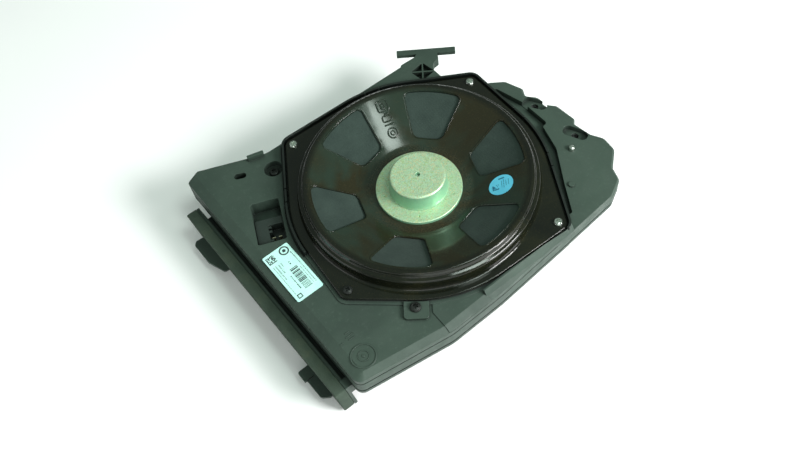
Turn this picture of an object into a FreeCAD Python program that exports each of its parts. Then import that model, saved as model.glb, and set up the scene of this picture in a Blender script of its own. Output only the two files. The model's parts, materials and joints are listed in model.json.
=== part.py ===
import FreeCAD, Part
import math
import os
from FreeCAD import Vector

# Under-seat central bass speaker for a car: a flat two-shell plastic enclosure, a driver
# mounted with its motor outwards, and an outlet with a foam seal on the -X side.
# Frame: origin on the driver axis at the base plane, +Z up, +Y along the outlet,
# +X away from the outlet. Millimetres.

# ---- driving dimensions -------------------------------------------------------------
SEAM_Z = 38.0            # joint plane of the two shells
LIP_Z = 53.5             # top of the vertical skirt
DECK_Z = 56.0            # main deck
LOW_DECK_Z = 46.0        # stepped-down deck at +X
FLANGE_TOP_Z = 60.0      # upper face of the driver's mounting flange
RIB_TOP_Z = 62.0         # retaining rib round the driver
WALL = 2.5               # plastic wall
STEEL = 1.5              # basket sheet
GASKET = 1.5             # driver gasket
SEAM_GAP = 0.6           # thickness of the seal between the shells
SEAM_REBATE = 1.0        # how far the joint is set back from the outside

FOOT_R = 100.0           # where the basket's side wall meets its flange
FLANGE_R = 106.5         # round part of the flange
EAR_R = 7.0              # flange ear round each screw
SCREW_AT = [(101.0, 53.0), (-54.0, 102.0), (-103.0, -41.0), (57.0, -102.0)]
HUB_R = 44.0
HUB_TOP_Z = 53.0
RIM_R = 89.0
RIM_TOP_Z = 75.3
COIL_R = 18.0            # inside of the voice coil former

PLATFORM_Z = FLANGE_TOP_Z - STEEL - GASKET
PLATFORM_MARGIN = 3.0
LEDGE_R = 103.8          # driver cut-out in the platform

SHANK_R = 1.95
PILOT_R = 2.0
CLEAR_R = 2.3
TOP_SCREWS = [(-73.0, -85.5, 58.5), (-80.0, 96.0, 50.0)]    # x, y, z under the head
BASE_SCREWS = [(-121.0, -82.0, 54.5), (-110.0, 108.0, 54.5), (112.0, -88.0, 44.5), (126.0, 35.0, 44.5)]

# outline corners: x, y, corner radius, counter-clockwise
LIP_OUTLINE = [
    (-142.5, -104.0, 7.0), (-63.0, -117.0, 40.0), (-14.0, -116.6, 80.0), (64.0, -111.5, 3.0),
    (92.0, 0.0, 5.0), (90.0, 78.0, 3.0), (90.0, 112.5, 3.0), (-76.0, 115.0, 25.0),
    (-131.0, 139.5, 3.0), (-142.5, 134.5, 3.0),
]
DECK_INSET = [6.0, 6.5, 6.0, 0.5, 0.5, 0.5, 1.5, 1.5, 2.0, 8.5]
LOW_OUTLINE = [
    (60.0, -100.0, 2.0), (62.0, -111.4, 2.0), (113.0, -107.5, 9.0), (130.0, -99.0, 7.0),
    (134.5, -87.0, 4.0), (149.5, -74.5, 8.0), (151.5, -60.0, 8.0), (146.0, -49.5, 3.0),
    (144.0, -33.0, 2.0), (148.0, -29.0, 3.0), (147.0, -8.0, 6.0), (142.0, -2.0, 3.0),
    (141.5, 10.0, 8.0), (134.8, 18.5, 2.5), (138.8, 26.0, 4.0), (133.0, 43.0, 6.0),
    (122.0, 51.5, 6.0), (106.0, 56.0, 4.0), (92.0, 40.0, 3.0), (88.0, -60.0, 3.0),
]
TUB_OUTLINE = [
    (-136.0, -97.0, 8.0), (-66.0, -109.0, 40.0), (100.0, -103.0, 10.0), (122.0, -88.0, 8.0),
    (128.0, -58.0, 8.0), (122.0, 40.0, 8.0), (86.0, 76.0, 6.0), (85.0, 108.0, 6.0),
    (-76.0, 111.0, 20.0), (-124.0, 127.0, 8.0), (-136.0, 122.0, 6.0),
]
TUB_DRAFT = [20.0, 20.0, 16.0, 8.0, 4.0, 6.0, 4.0, 6.0, 8.0, 10.0, 10.0]

# outlet: a ring on a plane that leans outwards going up
OUTLET_LEAN = 0.1
OUTLET_X0 = -145.2       # ring's inner face at OUTLET_Z0
OUTLET_Z0 = 2.0
OUTLET_Y = (-94.0, 121.0)
OUTLET_Z1 = 36.0
SEAL_BAR = 9.0
SEAL_BOTTOM_BAR = 7.0
SEAL_DEPTH = 9.8
DUCT_FLOOR_Z = 12.0
DUCT_ROOF_Z = 25.0
DUCT_Y = (-82.0, 109.0)
RIM_Z = 33.0             # underside of the lower shell's rim

TRENCH_Z = 40.5
POCKET_AT = (-113.0, 55.0)
POCKET_SIZE = (41.0, 24.0)
POCKET_TURN = 66.0
POCKET_FLOOR_Z = 42.0
PIN_LINE = -12.2         # connector blades, along the pocket from its centre
PIN_SIDES = (-2.6, 2.6)
TERMINAL_TURN = 160.0
TERMINAL_TOP_Z = 28.0
CUPS = [(134.4, 6.0, -60.0), (137.3, -40.5, -66.0)]
CUP_SIZE = (22.0, 10.5)
CUP_FLOOR_Z = 41.0
MOUNT_HOLE_R = 3.3
STUD_AT = (122.8, -51.0)
PIP_AT = (97.2, -77.0)
SLOT_AT = (-105.4, 108.8)
SHADOW_LINE_Z = 47.6     # groove that runs round the outside of the deck's skirt
FLANGE_GAP = 1.2         # clearance between the driver flange and the retaining rib
TBAR_AT = (98.7, 111.0)
TBAR_TURN = -37.3
WINDOW_PHASE = 42.0
WINDOW_END_R = 86.4      # outer end of the basket windows


# ---- helpers ------------------------------------------------------------------------
def polar(radius, degrees, z=0.0):
    a = math.radians(degrees)
    return Vector(radius * math.cos(a), radius * math.sin(a), z)


def offset_points(points, distances):
    """Outline moved inwards by one distance per edge (edge i runs from point i to i + 1)."""
    n = len(points)
    if not isinstance(distances, (list, tuple)):
        distances = [distances] * n
    lines = []
    for i in range(n):
        ax, ay = points[i][:2]
        bx, by = points[(i + 1) % n][:2]
        length = math.hypot(bx - ax, by - ay)
        ux, uy = (bx - ax) / length, (by - ay) / length
        d = distances[i]
        lines.append((ax - uy * d, ay + ux * d, ux, uy))
    moved = []
    for i in range(n):
        px, py, ux, uy = lines[i - 1]
        qx, qy, vx, vy = lines[i]
        cross = ux * vy - uy * vx
        t = ((qx - px) * vy - (qy - py) * vx) / cross
        inset = 0.5 * (distances[i - 1] + distances[i])
        turns_left = cross > 0
        radius = points[i][2] - inset if turns_left else points[i][2] + inset
        moved.append((px + ux * t, py + uy * t, max(radius, 0.8)))
    return moved


def rounded_wire(points, z):
    """Closed wire through the corner points, each corner an arc of its own radius."""
    n = len(points)
    corners = []
    for i in range(n):
        p = Vector(points[i][0], points[i][1], z)
        a = Vector(points[i - 1][0], points[i - 1][1], z) - p
        b = Vector(points[(i + 1) % n][0], points[(i + 1) % n][1], z) - p
        a.normalize()
        b.normalize()
        half = a.getAngle(b) / 2.0
        reach = points[i][2] / math.tan(half)
        middle = (a + b).normalize()
        centre = p + middle * (points[i][2] / math.sin(half))
        corners.append((p + a * reach, centre - middle * points[i][2], p + b * reach))
    edges = []
    for i in range(n):
        start, mid, end = corners[i]
        edges.append(Part.Arc(start, mid, end).toShape())
        edges.append(Part.LineSegment(end, corners[(i + 1) % n][0]).toShape())
    return Part.Wire(edges)


def prism(points, z0, z1):
    face = Part.Face(rounded_wire(points, z0))
    return face.extrude(Vector(0, 0, z1 - z0))


def tapered(points, insets, z0, z1):
    """Solid from the outline at z0 to the same outline moved inwards at z1."""
    lower = rounded_wire(points, z0)
    upper = rounded_wire(offset_points(points, insets), z1)
    return Part.makeLoft([lower, upper], True, True)


def flange_wire(grow, z):
    """Driver flange: a circle joined by tangents to an ear round each screw."""
    main_r = FLANGE_R + grow
    ear_r = EAR_R + grow
    spans = []
    for x, y in SCREW_AT:
        reach = math.hypot(x, y)
        turn = math.degrees(math.atan2(y, x))
        open_by = math.degrees(math.acos((main_r - ear_r) / reach))
        spans.append((Vector(x, y, z), turn, open_by))
    edges = []
    for i, (centre, turn, open_by) in enumerate(spans):
        nxt_centre, nxt_turn, nxt_open = spans[(i + 1) % len(spans)]
        if nxt_turn < turn:
            nxt_turn += 360.0
        a = centre + polar(ear_r, turn - open_by)
        b = centre + polar(ear_r, turn)
        c = centre + polar(ear_r, turn + open_by)
        edges.append(Part.Arc(a, b, c).toShape())
        d = polar(main_r, turn + open_by, z)
        edges.append(Part.LineSegment(c, d).toShape())
        f = polar(main_r, nxt_turn - nxt_open, z)
        e = polar(main_r, 0.5 * (turn + open_by + nxt_turn - nxt_open), z)
        edges.append(Part.Arc(d, e, f).toShape())
        g = nxt_centre + polar(ear_r, nxt_turn - nxt_open)
        edges.append(Part.LineSegment(f, g).toShape())
    return Part.Wire(edges)


def flange_prism(grow, z0, z1):
    return Part.Face(flange_wire(grow, z0)).extrude(Vector(0, 0, z1 - z0))


def cylinder(x, y, radius, z0, z1):
    return Part.makeCylinder(radius, z1 - z0, Vector(x, y, z0))


def box(x0, x1, y0, y1, z0, z1):
    return Part.makeBox(x1 - x0, y1 - y0, z1 - z0, Vector(x0, y0, z0))


def placed(shape, x, y, degrees):
    """Shape made round the origin, turned about Z and moved to (x, y)."""
    shape.rotate(Vector(0, 0, 0), Vector(0, 0, 1), degrees)
    shape.translate(Vector(x, y, 0))
    return shape


def rounded_block(length, width, radius, z0, z1):
    a, b = length / 2.0, width / 2.0
    points = [(-a, -b, radius), (a, -b, radius), (a, b, radius), (-a, b, radius)]
    return prism(points, z0, z1)


def revolved(profile):
    """Full turn about Z of a closed outline given as (radius, z) points."""
    points = [Vector(r, 0, z) for r, z in profile]
    face = Part.Face(Part.makePolygon(points + points[:1]))
    return face.revolve(Vector(0, 0, 0), Vector(0, 0, 1), 360)


def turned(profile):
    """Full turn about Z of a closed outline of (radius, z, corner radius) points."""
    wire = rounded_wire(profile, 0.0)
    wire.rotate(Vector(0, 0, 0), Vector(1, 0, 0), 90)
    return Part.Face(wire).revolve(Vector(0, 0, 0), Vector(0, 0, 1), 360)


def fuse(shapes):
    result = shapes[0].fuse(shapes[1:]) if len(shapes) > 1 else shapes[0]
    return result.removeSplitter()


def sector(degrees0, degrees1, radius, z0, z1):
    """Wedge between two directions, for cutting rings."""
    a = polar(radius, degrees0, z0)
    b = polar(radius, degrees1, z0)
    m = polar(radius, 0.5 * (degrees0 + degrees1), z0)
    o = Vector(0, 0, z0)
    edges = [Part.LineSegment(o, a), Part.Arc(a, m, b), Part.LineSegment(b, o)]
    wire = Part.Wire([e.toShape() for e in edges])
    return Part.Face(wire).extrude(Vector(0, 0, z1 - z0))


def leaning_x(z):
    """Inner face of the outlet ring at height z."""
    return OUTLET_X0 - OUTLET_LEAN * (z - OUTLET_Z0)


def leaning_plate(y0, y1, z0, z1, near, far):
    """Plate parallel to the outlet ring, from near to far beyond its inner face."""
    corners = [(y0, z0), (y1, z0), (y1, z1), (y0, z1)]
    points = [Vector(leaning_x(z) - near, y, z) for y, z in corners]
    face = Part.Face(Part.makePolygon(points + points[:1]))
    return face.extrude(Vector(near - far, 0, 0))


# ---- enclosure ----------------------------------------------------------------------
def footprint(inset, z0, z1):
    """Plan of the upper shell at the seam."""
    return fuse([
        prism(offset_points(LIP_OUTLINE, inset), z0, z1),
        prism(offset_points(LOW_OUTLINE, inset), z0, z1),
        flange_prism(PLATFORM_MARGIN - inset, z0, z1),
    ])


def rib():
    """Retaining rib outside the flange, slit beside each snap tab."""
    ring = flange_prism(PLATFORM_MARGIN, PLATFORM_Z, RIB_TOP_Z)
    ring = ring.cut(flange_prism(FLANGE_GAP, PLATFORM_Z - 1, RIB_TOP_Z + 1))
    ring = ring.cut(sector(176, 298, 200, PLATFORM_Z - 1, RIB_TOP_Z + 1))
    for tab in (-1.0, -30.0, 73.0, 145.0):
        for side in (-3.5, 3.5):
            slit = Part.makeBox(8, 1.0, 4.0, Vector(FLANGE_R - 1, -0.5, RIB_TOP_Z - 3.2))
            slit.rotate(Vector(0, 0, 0), Vector(0, 0, 1), tab + side)
            ring = ring.cut(slit)
    return ring


def front_strip():
    """Raised edge along the -Y side of the platform."""
    x0, x1 = -26.0, 64.0
    section = [(-108.2, PLATFORM_Z - 4), (-108.2, 60.7), (-109.8, 60.7), (-113.2, 54.0), (-113.2, 50.0)]
    points = [Vector(x0, y, z) for y, z in section]
    face = Part.Face(Part.makePolygon(points + points[:1]))
    return face.extrude(Vector(x1 - x0, 0, 0)).cut(flange_prism(1.7, 50, 63))


def raised_field():
    """Part of the deck beside the strip that stands a little proud, bounded by a step."""
    area = prism([(-56.2, -84.0, 1), (-65.3, -96.5, 2), (-66.0, -124.0, 1), (-25.0, -124.0, 1), (-25.0, -84.0, 1)],
                 LIP_Z - 1, DECK_Z + 3)
    lifted = tapered(LIP_OUTLINE, DECK_INSET, LIP_Z, DECK_Z)
    lifted.translate(Vector(0, 0, 0.7))
    return lifted.common(area)


def skirt_groove():
    """Shadow line round the free part of the skirt."""
    z0, z1 = SHADOW_LINE_Z, SHADOW_LINE_Z + 1.3
    ring = prism(offset_points(LIP_OUTLINE, -1.0), z0, z1)
    ring = ring.cut(prism(offset_points(LIP_OUTLINE, 1.0), z0 - 1, z1 + 1))
    return ring.common(box(-160, 60, -130, 150, z0, z1))


def rib_gutter():
    """Narrow channel between the deck and the outside of the rib, on the -X side."""
    z0 = DECK_Z - 1.3
    channel = flange_prism(PLATFORM_MARGIN + 1.5, z0, 63).cut(flange_prism(PLATFORM_MARGIN, z0 - 1, 64))
    return channel.common(sector(112, 176, 200, z0, 63))


def t_bracket():
    """Rear hook: a cross bar on a short stem, with an X-ribbed recess at its root."""
    bar = placed(rounded_block(53, 5.6, 0.8, 52.2, DECK_Z), TBAR_AT[0], TBAR_AT[1], TBAR_TURN)
    stem = prism([(70, 60, 2), (88, 60, 2), (88.5, 87, 9), (94, 95.5, 6), (101, 96, 1),
                  (105.5, 103, 0.5), (91, 114.5, 0.5), (86, 112.2, 1), (70, 113, 2)], 48.0, DECK_Z)
    return bar, stem


def t_recess():
    recess = placed(rounded_block(15, 15, 1.5, 50.5, DECK_Z + 2), 81.0, 94.0, 45.0 + TBAR_TURN)
    for turn in (0, 90):
        web = Part.makeBox(24, 1.3, 8, Vector(-12, -0.65, 49))
        recess = recess.cut(placed(web, 81.0, 94.0, turn + TBAR_TURN))
    return recess


def make_upper_housing():
    deck_top = tapered(LIP_OUTLINE, DECK_INSET, LIP_Z, DECK_Z)
    skirt = prism(LIP_OUTLINE, SEAM_Z, LIP_Z)
    low = prism(LOW_OUTLINE, SEAM_Z, LOW_DECK_Z - 1.6)
    low_top = tapered(LOW_OUTLINE, 1.6, LOW_DECK_Z - 1.6, LOW_DECK_Z)
    platform = flange_prism(PLATFORM_MARGIN, SEAM_Z, PLATFORM_Z)
    bar, stem = t_bracket()
    outer = fuse([skirt, deck_top, low, low_top, platform, bar, stem])

    deck_outline = offset_points(LIP_OUTLINE, DECK_INSET)
    trench_outline = [(62, -96, 1), (79, -96.5, 2), (94, -72, 20), (114, -42, 20), (122, -17, 2),
                      (127.3, -17, 3), (127.5, 14, 3), (121, 42, 4), (100, 46, 1), (90, -20, 5)]
    trench = prism(trench_outline, TRENCH_Z, 60)
    trench = trench.cut(flange_prism(PLATFORM_MARGIN, 30, 62))
    trench_floor = prism(offset_points(trench_outline, -WALL), SEAM_Z, LOW_DECK_Z)
    hollow = fuse([
        prism(offset_points(LIP_OUTLINE, WALL), SEAM_Z - 1, LIP_Z - WALL),
        prism(offset_points(deck_outline, WALL), LIP_Z - WALL - 1, DECK_Z - WALL),
        prism(offset_points(LOW_OUTLINE, WALL), SEAM_Z - 1, LOW_DECK_Z - WALL),
        flange_prism(PLATFORM_MARGIN - WALL, SEAM_Z - 1, PLATFORM_Z - WALL),
    ])
    keep = [stem.common(box(60, 110, 60, 120, 48.0, DECK_Z))]
    keep.append(trench_floor.cut(flange_prism(PLATFORM_MARGIN - WALL, 30, 62)))
    px, py = POCKET_AT
    length, width = POCKET_SIZE
    keep.append(placed(rounded_block(length + 2 * WALL, width + 2 * WALL, 3, POCKET_FLOOR_Z - WALL, DECK_Z),
                       px, py, POCKET_TURN))
    for x, y in SCREW_AT:
        keep.append(cylinder(x, y, 4.4, 44.0, PLATFORM_Z))
    for x, y, z in TOP_SCREWS:
        keep.append(cylinder(x, y, 10.0 if z < DECK_Z else 6.0, SEAM_Z, DECK_Z))
    for x, y, top in BASE_SCREWS:
        keep.append(cylinder(x, y, 5.0, SEAM_Z, top))
    for x, y, turn in CUPS:
        keep.append(placed(rounded_block(CUP_SIZE[0] + 5, CUP_SIZE[1] + 5, 6.5, SEAM_Z, LOW_DECK_Z), x, y, turn))
    keep.append(placed(rounded_block(15, 10.5, 3, 44.5, DECK_Z), SLOT_AT[0], SLOT_AT[1], -26.6))
    keep = fuse(keep).common(outer)
    shell = outer.cut(hollow).fuse(keep)

    additions = [rib(), front_strip(), raised_field()]
    additions.append(placed(rounded_block(14.5, 3.0, 0.8, 54.0, 61.0), -84.5, 115.5, -17.0))
    additions.append(placed(rounded_block(19, 17, 3, 54.0, TOP_SCREWS[0][2]), -73.0, -86.5, -38.0)
                     .cut(flange_prism(0.8, 50, 63)))
    additions.append(cylinder(PIP_AT[0], PIP_AT[1], 2.6, LOW_DECK_Z - 1, LOW_DECK_Z + 1.4))
    ring_mark = cylinder(-126, -90, 10.0, DECK_Z - 1, DECK_Z + 0.5).cut(cylinder(-126, -90, 9.0, 50, 60))
    additions.append(ring_mark)
    shell = shell.fuse(additions)

    cuts = [trench, t_recess(), skirt_groove(), rib_gutter()]
    cuts.append(Part.makeCylinder(LEDGE_R, 30, Vector(0, 0, PLATFORM_Z - 12)))
    cuts.append(placed(rounded_block(length, width, 2, POCKET_FLOOR_Z, 70), px, py, POCKET_TURN)
                .cut(flange_prism(PLATFORM_MARGIN, 30, 62)))
    cuts.append(placed(rounded_block(10.5, 5.6, 2.7, 46.5, 60), SLOT_AT[0], SLOT_AT[1], -26.6))
    blade_hole = rounded_block(3.0, 9.6, 1.0, 30, 50)
    cuts.append(placed(placed(blade_hole, PIN_LINE, -4.0, 0), px, py, POCKET_TURN))
    for x, y in SCREW_AT:
        cuts.append(cylinder(x, y, PILOT_R, 43.0, 60.0))
    for x, y, z in TOP_SCREWS:
        cuts.append(cylinder(x, y, CLEAR_R, SEAM_Z - 1, 62))
        cuts.append(cylinder(x, y, 8.0, z, 62) if z < DECK_Z else cylinder(x, y, 5.0, z, 62))
    for x, y, top in BASE_SCREWS:
        cuts.append(cylinder(x, y, PILOT_R, SEAM_Z - 1, 43.0))
    for x, y, turn in CUPS:
        cuts.append(placed(rounded_block(CUP_SIZE[0], CUP_SIZE[1], 4.7, CUP_FLOOR_Z, 60), x, y, turn))
        cuts.append(cylinder(x, y, MOUNT_HOLE_R, SEAM_Z - 1, 50))
    for x, y in [STUD_AT]:
        cuts.append(cylinder(x, y, 1.6, LOW_DECK_Z - 1.8, 60))
    return shell.cut(cuts).removeSplitter()


def make_lower_housing():
    top = SEAM_Z - SEAM_GAP
    rim = footprint(0.0, RIM_Z, top - 1.2).fuse(footprint(SEAM_REBATE, top - 1.2, top))
    rim = rim.cut(footprint(WALL, RIM_Z + WALL, top + 1))
    lower = rounded_wire(offset_points(TUB_OUTLINE, TUB_DRAFT), 0.0)
    upper = rounded_wire(TUB_OUTLINE, RIM_Z + 1.0)
    tub = Part.makeLoft([lower, upper], True, True)
    inner_low = rounded_wire(offset_points(TUB_OUTLINE, [d + WALL for d in TUB_DRAFT]), WALL)
    inner_top = rounded_wire(offset_points(TUB_OUTLINE, WALL + 0.5), top + 1)
    hollow = Part.makeLoft([inner_low, inner_top], True, True)

    y0, y1 = DUCT_Y
    duct = box(-150, -112, y0 - WALL, y1 + WALL, DUCT_FLOOR_Z - WALL, DUCT_ROOF_Z + WALL)
    duct = duct.cut(leaning_plate(-130, 140, 0, 40, 0.0, 30.0))
    flange = leaning_plate(OUTLET_Y[0], OUTLET_Y[1], OUTLET_Z0, 34.8, -WALL, 0.0)
    gusset = box(-149.0, -134.0, OUTLET_Y[0], OUTLET_Y[0] + 8.0, 24.0, top - 1.0)
    gusset = gusset.cut(leaning_plate(-130, 140, 0, 40, 0.0, 30.0))
    columns = [cylinder(x, y, 5.5, 1.0, top) for x, y, _ in TOP_SCREWS]
    columns += [cylinder(x, y, 6.0, 1.0, top) for x, y, _ in BASE_SCREWS]
    columns += [cylinder(x, y, 5.5, RIM_Z, top) for x, y, _ in CUPS]
    holes = [cylinder(x, y, PILOT_R, 11.0, 40.0) for x, y, _ in TOP_SCREWS]
    for x, y, _ in BASE_SCREWS:
        holes.append(cylinder(x, y, 4.2, -1.0, 8.0))
        holes.append(cylinder(x, y, CLEAR_R, 7.0, 40.0))
    for x, y, _ in CUPS:
        holes.append(cylinder(x, y, MOUNT_HOLE_R, 30.0, 40.0))
    passage = box(-170, -112, y0, y1, DUCT_FLOOR_Z, DUCT_ROOF_Z)
    body = fuse([tub, rim, duct, flange, gusset]).cut(hollow).cut(passage)
    for hole in holes:
        body = body.cut(hole)
    for column in columns:
        for hole in holes:
            if hole.BoundBox.intersect(column.BoundBox):
                column = column.cut(hole)
        body = body.fuse(column)
    for tongue in guide_tongues():
        body = body.fuse(tongue)
    return body


def guide_tongues():
    """Two tongues on the duct's floor that lead into the sill opening."""
    z0, z1 = DUCT_FLOOR_Z - WALL, DUCT_FLOOR_Z
    first = prism([(-138, 68, 1), (-138, 108, 1), (-163, 110, 2), (-166, 107, 3), (-166, 85, 6),
                   (-160, 68, 3)], z0, z1)
    second = prism([(-138, -81, 1), (-138, -48, 1), (-166, -48, 2), (-166, -58, 1), (-164, -59, 1),
                    (-164, -77, 4), (-158, -81, 3)], z0, z1)
    slit = box(-170, -157, -58.9, -58.1, 0, 20)
    return [first, second.cut(slit)]


def make_outlet_seal():
    """Closed-cell foam frame round the outlet."""
    z0, z1 = OUTLET_Z0, OUTLET_Z1
    ring = leaning_plate(OUTLET_Y[0], OUTLET_Y[1], z0, z1, 0.0, SEAL_DEPTH)
    mouth = leaning_plate(OUTLET_Y[0] + SEAL_BAR, OUTLET_Y[1] - SEAL_BAR, z0 + SEAL_BOTTOM_BAR,
                          z1 - SEAL_BAR, -1.0, SEAL_DEPTH + 1)
    return ring.cut(mouth)


def make_shell_seal():
    """Flat rubber seal in the joint of the two shells."""
    z0, z1 = SEAM_Z - SEAM_GAP, SEAM_Z
    band = footprint(SEAM_REBATE, z0, z1).cut(footprint(WALL, z0 - 1, z1 + 1))
    return max(band.Solids, key=lambda solid: solid.Volume)


def make_connector_socket():
    px, py = POCKET_AT
    block = rounded_block(26, 23, 1.5, POCKET_FLOOR_Z, 51.5)
    block = block.cut(placed(rounded_block(17, 12.5, 1.0, POCKET_FLOOR_Z + 1.5, 60), -2.5, -4.75, 0))
    for along in (-9.6, -0.8, 3.4):
        block = block.fuse(Part.makeBox(2.0, 3.0, 8.2, Vector(along, -1.2, POCKET_FLOOR_Z + 1.0)))
    for side in PIN_SIDES:
        block = block.cut(Part.makeBox(0.8, 2.8, 8.0, Vector(-5.4, -5.4 + side, POCKET_FLOOR_Z - 3)))
    block = placed(block, -7.2, 0.0, 0)
    return placed(block, px, py, POCKET_TURN)


def make_connector_pins():
    """Two blades that stand in the socket and pass through its floor into the chamber."""
    pins = []
    for side in PIN_SIDES:
        blade = Part.makeBox(0.8, 2.8, 16.0, Vector(-0.4, -1.4, POCKET_FLOOR_Z - 9.0))
        blade.translate(Vector(PIN_LINE, -4.0 + side, 0))
        pins.append(placed(blade, POCKET_AT[0], POCKET_AT[1], POCKET_TURN))
    return Part.makeCompound(pins)


# ---- screws -------------------------------------------------------------------------
def pan_screw(x, y, z_under, head_r, head_h, shank_r, length, star):
    """Pan-head screw pointing down, with a cross or star recess."""
    z = z_under
    profile = [(0, z - length), (shank_r * 0.4, z - length), (shank_r, z - length + 2), (shank_r, z),
               (head_r, z), (head_r, z + head_h * 0.45), (head_r * 0.8, z + head_h * 0.85),
               (head_r * 0.45, z + head_h), (0, z + head_h)]
    screw = revolved(profile)
    screw.translate(Vector(x, y, 0))
    turns = (0, 60, 120) if star else (35, 125)
    for turn in turns:
        blade = Part.makeBox(head_r * 1.1, head_r * 0.3, 3, Vector(-head_r * 0.55, -head_r * 0.15, z + head_h * 0.4))
        screw = screw.cut(placed(blade, x, y, turn))
    return screw


def make_driver_screws():
    screws = [pan_screw(x, y, FLANGE_TOP_Z, 3.7, 2.6, SHANK_R, 14, False) for x, y in SCREW_AT]
    return Part.makeCompound(screws)


def make_shell_screws():
    screws = [pan_screw(x, y, z, 4.2, 2.8, SHANK_R, z - 16, True) for x, y, z in TOP_SCREWS]
    for x, y, _ in BASE_SCREWS:
        screw = pan_screw(x, y, 0, 3.7, 2.6, SHANK_R, 34, True)
        screw.rotate(Vector(x, y, 0), Vector(1, 0, 0), 180)
        screw.translate(Vector(0, 0, 8.0))
        screws.append(screw)
    return Part.makeCompound(screws)


# ---- driver -------------------------------------------------------------------------
def dish_z(radius):
    """Upper surface of the basket between its hub and its rim."""
    rise = (RIM_TOP_Z - 1.0 - HUB_TOP_Z) / (RIM_R - 1.0 - HUB_R)
    return HUB_TOP_Z + rise * (radius - HUB_R)


def window_prism(turn, grow):
    """Fan-shaped opening: straight sides, and an outer end that follows the rim."""
    inner, outer = 49.5 - grow, WINDOW_END_R + grow
    a, b = 12.0 + grow, 30.0 + grow
    blank = prism([(inner, -a, 6), (96, -b, 1), (96, b, 1), (inner, a, 6)], 40, 90)
    blank = blank.common(Part.makeCylinder(outer, 60, Vector(0, 0, 35)))
    corners = [edge for edge in blank.Edges if is_upright(edge) and edge.CenterOfMass.x > outer - 12]
    return placed(blank.makeFillet(4.5, corners), 0, 0, turn)


def is_upright(edge):
    box_of = edge.BoundBox
    return box_of.ZLength > 40 and box_of.XLength < 0.01 and box_of.YLength < 0.01


def make_driver_basket():
    t = STEEL
    slope_in = dish_z(RIM_R - 1)
    outer = [(21.6, HUB_TOP_Z, 0.3), (HUB_R, HUB_TOP_Z, 7.0), (RIM_R - 1.0, slope_in, 3.0),
             (RIM_R + 1.4, RIM_TOP_Z, 1.2), (92.8, RIM_TOP_Z, 1.6), (94.2, 71.4, 1.0), (97.6, 70.2, 1.8),
             (98.6, FLANGE_TOP_Z, 2.0), (FOOT_R + 4, FLANGE_TOP_Z, 0.2)]
    inner = [(FOOT_R + 4, FLANGE_TOP_Z - t, 0.2), (98.6 - t, FLANGE_TOP_Z - t, 3.4), (97.6 - t - 0.2, 69.0, 0.4),
             (93.0, 70.3, 2.0), (91.4, RIM_TOP_Z - t, 0.3), (RIM_R + 1.9, RIM_TOP_Z - t, 2.6),
             (RIM_R - 0.6, slope_in - t, 1.6), (HUB_R + 0.4, HUB_TOP_Z - t, 8.4), (21.6, HUB_TOP_Z - t, 0.3)]
    dish = turned((outer + inner)[::-1])
    flange = flange_prism(0.0, FLANGE_TOP_Z - t, FLANGE_TOP_Z)
    flange = flange.cut(Part.makeCylinder(FOOT_R + 2, 20, Vector(0, 0, 50)))
    basket = dish.fuse(flange)
    holes = [window_prism(WINDOW_PHASE + 60 * k, 0.0) for k in range(6)]
    holes += [cylinder(x, y, CLEAR_R, 50, 70) for x, y in SCREW_AT]
    return basket.cut(holes).removeSplitter()


def dish_skin(r0, r1, below, thick):
    """Conical sheet that follows the basket's dish, a given depth under its upper surface."""
    profile = [(r0, dish_z(r0) - below), (r1, dish_z(r1) - below), (r1, dish_z(r1) - below - thick),
               (r0, dish_z(r0) - below - thick)]
    return revolved(profile)


def make_window_cloths():
    skin = dish_skin(47.5, 87.6, STEEL + 0.4, 0.8)
    return Part.makeCompound([skin.common(window_prism(WINDOW_PHASE + 60 * k, 2.0)) for k in range(6)])


def make_driver_gasket():
    ring = flange_prism(0.0, PLATFORM_Z, FLANGE_TOP_Z - STEEL)
    cuts = [Part.makeCylinder(LEDGE_R + 0.2, 20, Vector(0, 0, 50))]
    cuts += [cylinder(x, y, CLEAR_R, 50, 70) for x, y in SCREW_AT]
    return ring.cut(cuts)


def make_motor_ring():
    ring = turned([(20.2, HUB_TOP_Z, 0.2), (35.6, HUB_TOP_Z, 0.2), (35.6, 56.0, 0.8), (20.2, 56.0, 0.2)])
    for turn in (15, 87, 159, 231, 303):
        mark = polar(29.5, turn)
        ring = ring.cut(cylinder(mark.x, mark.y, 0.9, 55.2, 57.0))
    return ring


def make_motor_pot():
    return turned([(2.0, 72.2, 0.2), (2.0, 69.7, 0.2), (20.8, 69.7, 0.5), (20.8, 56.0, 0.2), (24.4, 56.0, 0.4),
                   (23.7, 58.6, 3.0), (23.1, 72.2, 2.0)])


def make_magnet_disc():
    return Part.makeCylinder(16.0, 12.2, Vector(0, 0, 57.5))


def make_pole_plate():
    return Part.makeCylinder(17.0, 5.0, Vector(0, 0, 52.5))


FORMER_R = 18.3
CONE_NECK_Z = 26.4
CONE_EDGE_R = 84.0
CONE_EDGE_Z = 57.2
CONE_SKIN = 1.0


def cone_z(radius):
    return CONE_NECK_Z + (CONE_EDGE_Z - CONE_NECK_Z) * (radius - FORMER_R) / (CONE_EDGE_R - FORMER_R)


def make_voice_coil_former():
    return revolved([(COIL_R, 26.0), (FORMER_R, 26.0), (FORMER_R, 60.5), (COIL_R, 60.5)])


def make_voice_coil_winding():
    return revolved([(FORMER_R, 48.0), (19.2, 48.0), (19.2, 60.0), (FORMER_R, 60.0)])


def make_cone():
    neck_r = FORMER_R + 0.1
    return revolved([(neck_r, cone_z(neck_r)), (CONE_EDGE_R, CONE_EDGE_Z), (CONE_EDGE_R, CONE_EDGE_Z - CONE_SKIN),
                     (neck_r, cone_z(neck_r) - CONE_SKIN)])


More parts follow.
